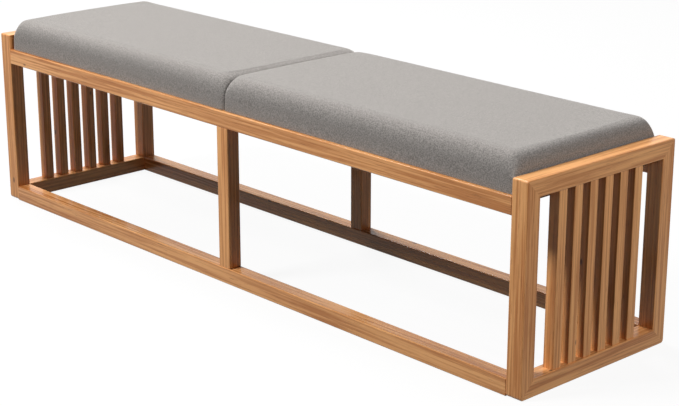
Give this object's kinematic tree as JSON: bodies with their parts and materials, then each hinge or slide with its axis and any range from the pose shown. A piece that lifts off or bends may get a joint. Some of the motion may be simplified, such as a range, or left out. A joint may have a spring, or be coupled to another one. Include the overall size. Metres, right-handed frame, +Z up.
{
  "type": "bed bench",
  "caption": "Long low bench for the foot of a bed: slatted wooden end frames, long rails at seat and floor level, and loose upholstered seat pads set end to end.",
  "frame": {"origin": "on the floor, under the middle of the bench", "axes": "+X along the bench to the right as seen from the front, +Y from front to rear, +Z up"},
  "size_m": [1.83, 0.455, 0.4881],
  "materials": {
    "frame_wood": "satin",
    "bearer_wood": "matte",
    "batten_wood": "matte",
    "dowel_wood": "matte",
    "plywood": "matte",
    "pad_fabric": "matte",
    "pad_foam": "matte",
    "dust_cloth": "matte",
    "screw_steel": "satin"
  },
  "bodies": {
    "frame": {"left_front_post": "frame_wood", "left_rear_post": "frame_wood", "left_top_rail": "frame_wood", "left_bottom_rail": "frame_wood", "right_front_post": "frame_wood", "right_rear_post": "frame_wood", "right_top_rail": "frame_wood", "right_bottom_rail": "frame_wood", "left_slat_1": "frame_wood", "left_slat_2": "frame_wood", "left_slat_3": "frame_wood", "left_slat_4": "frame_wood", "left_slat_5": "frame_wood", "left_slat_6": "frame_wood", "right_slat_1": "frame_wood", "right_slat_2": "frame_wood", "right_slat_3": "frame_wood", "right_slat_4": "frame_wood", "right_slat_5": "frame_wood", "right_slat_6": "frame_wood", "front_upper_rail": "frame_wood", "front_lower_rail": "frame_wood", "rear_upper_rail": "frame_wood", "rear_lower_rail": "frame_wood", "front_middle_post": "frame_wood", "rear_middle_post": "frame_wood", "seat_bearer_1": "bearer_wood", "seat_bearer_2": "bearer_wood", "seat_bearer_3": "bearer_wood", "seat_bearer_4": "bearer_wood", "seat_bearer_5": "bearer_wood", "mitre_dowels": "dowel_wood", "rail_dowels": "dowel_wood", "middle_post_dowels": "dowel_wood"},
    "left_pad": {"left_pad_cover": "pad_fabric", "left_pad_foam": "pad_foam", "left_pad_board": "plywood", "left_pad_dust_cloth": "dust_cloth", "left_pad_inner_batten": "batten_wood", "left_pad_outer_batten": "batten_wood", "left_pad_screws": "screw_steel"},
    "right_pad": {"right_pad_cover": "pad_fabric", "right_pad_foam": "pad_foam", "right_pad_board": "plywood", "right_pad_dust_cloth": "dust_cloth", "right_pad_inner_batten": "batten_wood", "right_pad_outer_batten": "batten_wood", "right_pad_screws": "screw_steel"}
  },
  "joints": [
    {"name": "left_pad_lift", "type": "slide", "parent": "frame", "child": "left_pad", "axis": [0, 0, 1], "range_m": [0, 0.12]},
    {"name": "right_pad_lift", "type": "slide", "parent": "frame", "child": "right_pad", "axis": [0, 0, 1], "range_m": [0, 0.12]}
  ]
}
